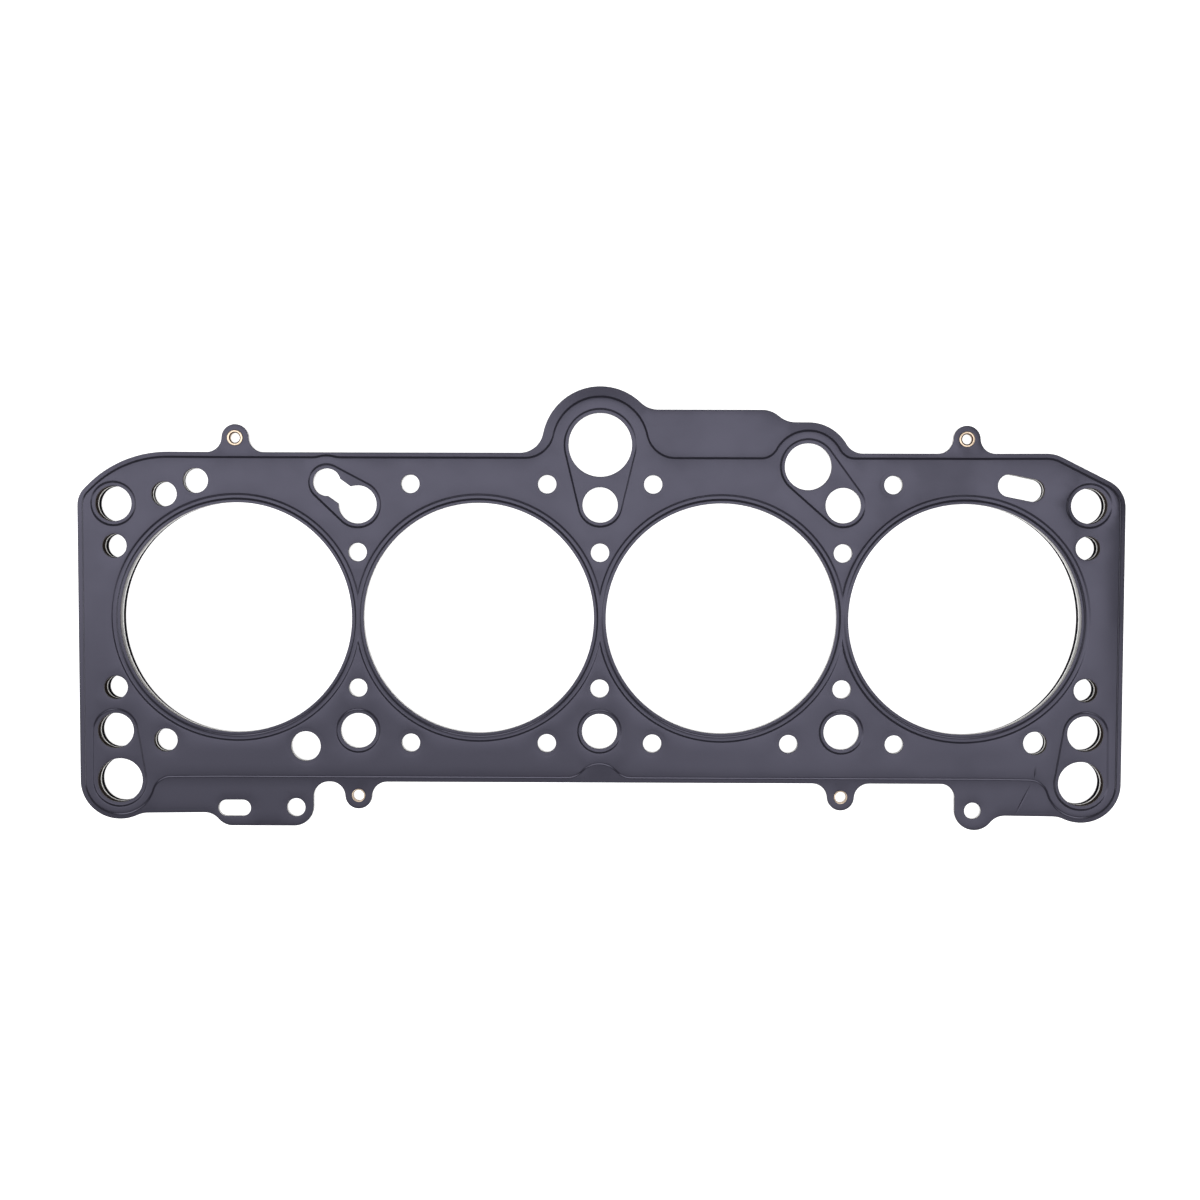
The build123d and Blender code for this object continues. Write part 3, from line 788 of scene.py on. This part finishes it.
def rolledBrass():
    # Drawn brass tube, rolled over on an anvil: the crest is pale brass, while the throat, the foot
    # and the barrel are painted dark brown as the shade that falls there.
    material, tree = newMaterial("rolledBrass")
    where = addNode(tree, "ShaderNodeTexCoord")
    stain = addNode(tree, "ShaderNodeTexNoise", {"Vector": where.outputs["Object"]},
                    {"Scale": 1000 / brass["stain"], "Detail": 2.0})
    tint = addNode(tree, "ShaderNodeMix", {"Factor": stain.outputs["Fac"]}, data_type="RGBA")
    tint.inputs["A"].default_value = linear(brass["colour"])
    tint.inputs["B"].default_value = linear(brass["dull"])
    # painted shade: dark brown in the throat, on the rim of the head and down the barrel
    paintedShade = addNode(tree, "ShaderNodeAttribute", attribute_name="paintedShade")
    tone = addNode(tree, "ShaderNodeMix", {"Factor": paintedShade.outputs["Fac"], "A": tint.outputs[2]},
                   data_type="RGBA")
    tone.inputs["B"].default_value = linear(brass["shaded"])
    metal = addNode(tree, "ShaderNodeBsdfPrincipled", {"Base Color": tone.outputs[2]},
                    {"Metallic": 1.0, "Roughness": brass["roughness"]})
    addNode(tree, "ShaderNodeOutputMaterial", {"Surface": metal.outputs[0]})
    return material


def dress(piece, material):
    piece.data.materials.clear()
    piece.data.materials.append(material)


# Pieces
outerLayers = {"upperSplay": 3.4, "lowerSplay": 2.6}
plate = embossedSheet()
print("stage: sheet worked out,", plate["count"], "points on each face")
coated = coatedSteel()
for name, node, side, splay in (("upperLayer", "upper_layer", 1, outerLayers["upperSplay"]),
                                ("lowerLayer", "lower_layer", -1, outerLayers["lowerSplay"])):
    layer = closedSheet(name, plate, side, splay)
    dress(layer, coated)
    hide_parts(node)
    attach(layer, "root")
    print("stage:", name, "has", len(layer.data.polygons), "faces")

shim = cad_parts["centre_shim"]
dress(shim, rolledSteel())

eyelets = {
    "upperBore": 1.80,
    "lowerBore": 1.97,
    "barrel": 2.05,
    "head": 2.90,
    "headCrest": 2.47,
    "curl": 2.45,
    "headRise": 0.17,
    "curlRise": 0.16,
    # throat and rim: where the brass is painted dark brown as shade
    "throat": 0.33,      # how far the dark throat reaches from the bore under the head
    "rim": 0.10,         # height and dark width of the rim of the head
    "undercut": 0.06,    # how far the foot of the rim draws in
    "rimFoot": 0.01,     # its height over the sheet
    "bend": 0.05,        # corner where the barrel meets the head and the curl
    "curlFoot": 0.04,
    "around": 64,
}


def eyeletProfile(bore):
    # Closed section from the head (up) to the curled rim. Head, from the bore over the crest to the
    # brim: radius = crest - (crest - bore) cos a, then crest + (brim - crest) sin a, and
    # height = foot + headRise sin a, then foot + headRise cos a. Curl: radius = middle + half cos b,
    # height = curlRise (1 - sin b) - top. Gives radius and height, and 1 where dark brown shade is
    # painted: in the throat, on the rim of the head and down the barrel.
    grip = sheets["shimThickness"] / 2 + sheets["layerThickness"]
    top = grip + sheets["beadHeight"]
    headRise = eyelets["headRise"]
    foot = top - headRise
    crest = eyelets["headCrest"]
    a = np.linspace(0, pi / 2, 9)
    brim, barrel, bend = eyelets["head"], eyelets["barrel"], eyelets["bend"]
    inner = np.column_stack((crest - (crest - bore) * np.cos(a), foot + headRise * np.sin(a)))
    outer = np.column_stack((crest + (brim - crest) * np.sin(a), foot + headRise * np.cos(a)))
    lip = np.array([[brim, grip + eyelets["rim"]],
                    [brim - eyelets["undercut"], grip + eyelets["rimFoot"]],
                    [barrel + bend, grip], [barrel, grip - bend]])
    under = np.array([[barrel, -grip + bend], [barrel + bend, -grip],
                      [eyelets["curl"] - eyelets["curlFoot"], -grip]])
    b = np.linspace(0, pi, 13)
    middle, half = (bore + eyelets["curl"]) / 2, (eyelets["curl"] - bore) / 2
    curl = np.column_stack((middle + half * np.cos(b), eyelets["curlRise"] * (1 - np.sin(b)) - top))
    section = np.vstack((inner, outer[1:], lip, under, curl))
    # painted shade in the throat, on the rim of the head and on the barrel between the sheets
    throat = (section[:, 1] > 0) & (section[:, 0] < bore + eyelets["throat"])
    rim = (section[:, 1] > 0) & (section[:, 0] > brim - eyelets["rim"])
    tube = abs(section[:, 0] - barrel) < 1.2 * bend
    return section, (throat | rim | tube).astype(float)


def lathe(name, at, head):
    # point(u, v) = centre + radius(v) (cos u, sin u), height(v), turned over where the head is below
    section, paintedShade = eyeletProfile(eyelets["upperBore"] if head > 0 else eyelets["lowerBore"])
    count, rows = eyelets["around"], len(section)
    u = np.linspace(0, 2 * pi, count, endpoint=False)[:, None]
    x = at[0] + section[:, 0] * np.cos(u)
    y = at[1] + section[:, 0] * np.sin(u)
    z = head * section[:, 1] + 0 * u
    points = mm(np.stack((x, y, z), axis=2).reshape(-1, 3))
    i, j = np.meshgrid(np.arange(count), np.arange(rows), indexing="ij")
    a = i * rows + j
    b = ((i + 1) % count) * rows + j
    c = ((i + 1) % count) * rows + (j + 1) % rows
    d = i * rows + (j + 1) % rows
    quads = np.stack((a, b, c, d), axis=2).reshape(-1, 4)
    faces = quads if head < 0 else quads[:, ::-1]
    # each point carries its share of the painted shade
    return smoothMesh(name, points, [faces], [], [], {"paintedShade": np.tile(paintedShade, count)}, 40)


brassy = rolledBrass()
for name, (x, y, head, node) in eyeletPlaces.items():
    piece = lathe(name, (x, y), head)
    dress(piece, brassy)
    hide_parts(node)
    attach(piece, "root")
print("stage: shim and eyelets done")

# Studio
studio = {
    "floor": -3.14,      # just under the lowest edge of the lower sheet
    "floorColour": "#f2f2f2",
    "floorGlow": 0.8,
    "worldGrey": 0.23,
    "floorReach": 6.0,   # metres
    "overhead": 3.0,     # metres, a lamp above this looks straight down
}


def floorPaper():
    # Matt white paper: its own colour in the light, and a plain glow only for the rays of the lens
    # and those that gloss and glass send on.
    material, tree = newMaterial("whitePaper")
    rays = addNode(tree, "ShaderNodeLightPath")
    seen = addNode(tree, "ShaderNodeMath",
                   {0: rays.outputs["Is Camera Ray"], 1: rays.outputs["Is Glossy Ray"]},
                   operation="MAXIMUM")
    seenThrough = addNode(tree, "ShaderNodeMath",
                          {0: seen.outputs[0], 1: rays.outputs["Is Transmission Ray"]},
                          operation="MAXIMUM")
    glow = addNode(tree, "ShaderNodeMath", {0: seenThrough.outputs[0]}, {1: studio["floorGlow"]},
                   operation="MULTIPLY")
    light = addNode(tree, "ShaderNodeEmission", {"Strength": glow.outputs[0]},
                    {"Color": (1, 1, 1, 1)})
    paper = addNode(tree, "ShaderNodeBsdfDiffuse", None, {"Color": linear(studio["floorColour"])})
    both = addNode(tree, "ShaderNodeAddShader", {0: light.outputs[0], 1: paper.outputs[0]})
    addNode(tree, "ShaderNodeOutputMaterial", {"Surface": both.outputs[0]})
    return material


def addFloor():
    # level square, far larger than the view
    reach = studio["floorReach"]
    corners = [(-reach, -reach), (reach, -reach), (reach, reach), (-reach, reach)]
    mesh = bpy.data.meshes.new("floor")
    mesh.from_pydata([(x, y, mm(studio["floor"])) for x, y in corners], [], [(0, 1, 2, 3)])
    floor = bpy.data.objects.new("floor", mesh)
    bpy.context.scene.collection.objects.link(floor)
    dress(floor, floorPaper())


addFloor()


def addLamp(name, at, size, radiance):
    # Rectangular softbox: straight down if it hangs overhead, else turned to the plate.
    # Its power for a given radiance: watts = pi * area * radiance
    aim = Vector((at[0], at[1], 0.0)) if at[2] > studio["overhead"] else Vector((0.0, 0.0, 0.0))
    lamp = bpy.data.lights.new(name, "AREA")
    lamp.shape = "RECTANGLE"
    lamp.size, lamp.size_y = size
    lamp.energy = pi * size[0] * size[1] * radiance
    holder = bpy.data.objects.new(name, lamp)
    holder.location = at
    holder.rotation_mode = "QUATERNION"
    holder.rotation_quaternion = (aim - Vector(at)).to_track_quat("-Z", "Y")
    bpy.context.scene.collection.objects.link(holder)


# A bright sheet overhead, a dimmer one that goes on towards the front and is brighter on the right,
# and low strips in front and at the sides: only the flanks that face outwards see those, the others
# stay dark. Places and sizes are in metres.
lamps = {
    "overhead": {"at": (-1.77, 0.375, 4.0), "size": (6.5, 1.25), "radiance": 3.15},
    "dimSheet": {"at": (-1.2, -0.775, 4.0), "size": (7.6, 1.05), "radiance": 1.55},
    "dimRight": {"at": (1.4, -0.775, 3.95), "size": (2.4, 1.05), "radiance": 0.7},
    "front": {"at": (0.0, -3.5, 1.85), "size": (3.2, 1.5), "radiance": 3.6},
    "left": {"at": (-4.2, 0.0, 1.25), "size": (2.4, 1.0), "radiance": 3.3},
    "right": {"at": (4.2, 0.0, 1.25), "size": (2.4, 1.0), "radiance": 2.6},
}
for name, lamp in lamps.items():
    addLamp(name, lamp["at"], lamp["size"], lamp["radiance"])

world = bpy.data.worlds.new("room")
bpy.context.scene.world = world
world.use_nodes = True
world.node_tree.nodes.clear()


def roomLight(tree):
    # dim grey room that the lens sees as white
    rays = addNode(tree, "ShaderNodeLightPath")
    seen = addNode(tree, "ShaderNodeMath",
                   {0: rays.outputs["Is Camera Ray"], 1: rays.outputs["Is Transmission Ray"]},
                   operation="MAXIMUM")
    dim = addNode(tree, "ShaderNodeBackground", None,
                  {"Color": (1, 1, 1, 1), "Strength": studio["worldGrey"]})
    white = addNode(tree, "ShaderNodeBackground", None, {"Color": (1, 1, 1, 1), "Strength": 1.0})
    both = addNode(tree, "ShaderNodeMixShader",
                   {0: seen.outputs[0], 1: dim.outputs[0], 2: white.outputs[0]})
    addNode(tree, "ShaderNodeOutputWorld", {"Surface": both.outputs[0]})


roomLight(world.node_tree)
print("stage: floor and lamps done")

# Camera, fitted to the even pattern of the bores and bolt holes
camera = {
    "lens": 37.168,
    "distance": 450.0,
    "shift": (-0.07692, -6.75552),
    "turns": (0.03559, -0.00653, -0.00315),    # radians
    "plane": 0.95,                             # height of the upper face, about which it turns
}


def addCamera():
    # The lens sees a point p at turn(p) + (shift, -distance); the camera's own place is the inverse
    # of that.
    rx, ry, rz = camera["turns"]
    turn = Matrix.Rotation(rz, 4, "Z") @ Matrix.Rotation(ry, 4, "Y") @ Matrix.Rotation(rx, 4, "X")
    shiftX, shiftY = camera["shift"]
    away = Matrix.Translation(Vector((mm(shiftX), mm(shiftY), -mm(camera["distance"]))))
    down = Matrix.Translation(Vector((0, 0, -mm(camera["plane"]))))
    data = bpy.data.cameras.new("camera")
    data.lens = camera["lens"]
    data.sensor_width = 36.0
    data.clip_start = 0.01
    holder = bpy.data.objects.new("camera", data)
    holder.matrix_world = (away @ turn @ down).inverted()
    bpy.context.scene.collection.objects.link(holder)
    bpy.context.scene.camera = holder


addCamera()
bpy.context.scene.view_settings.view_transform = "Standard"
print("stage: camera done")
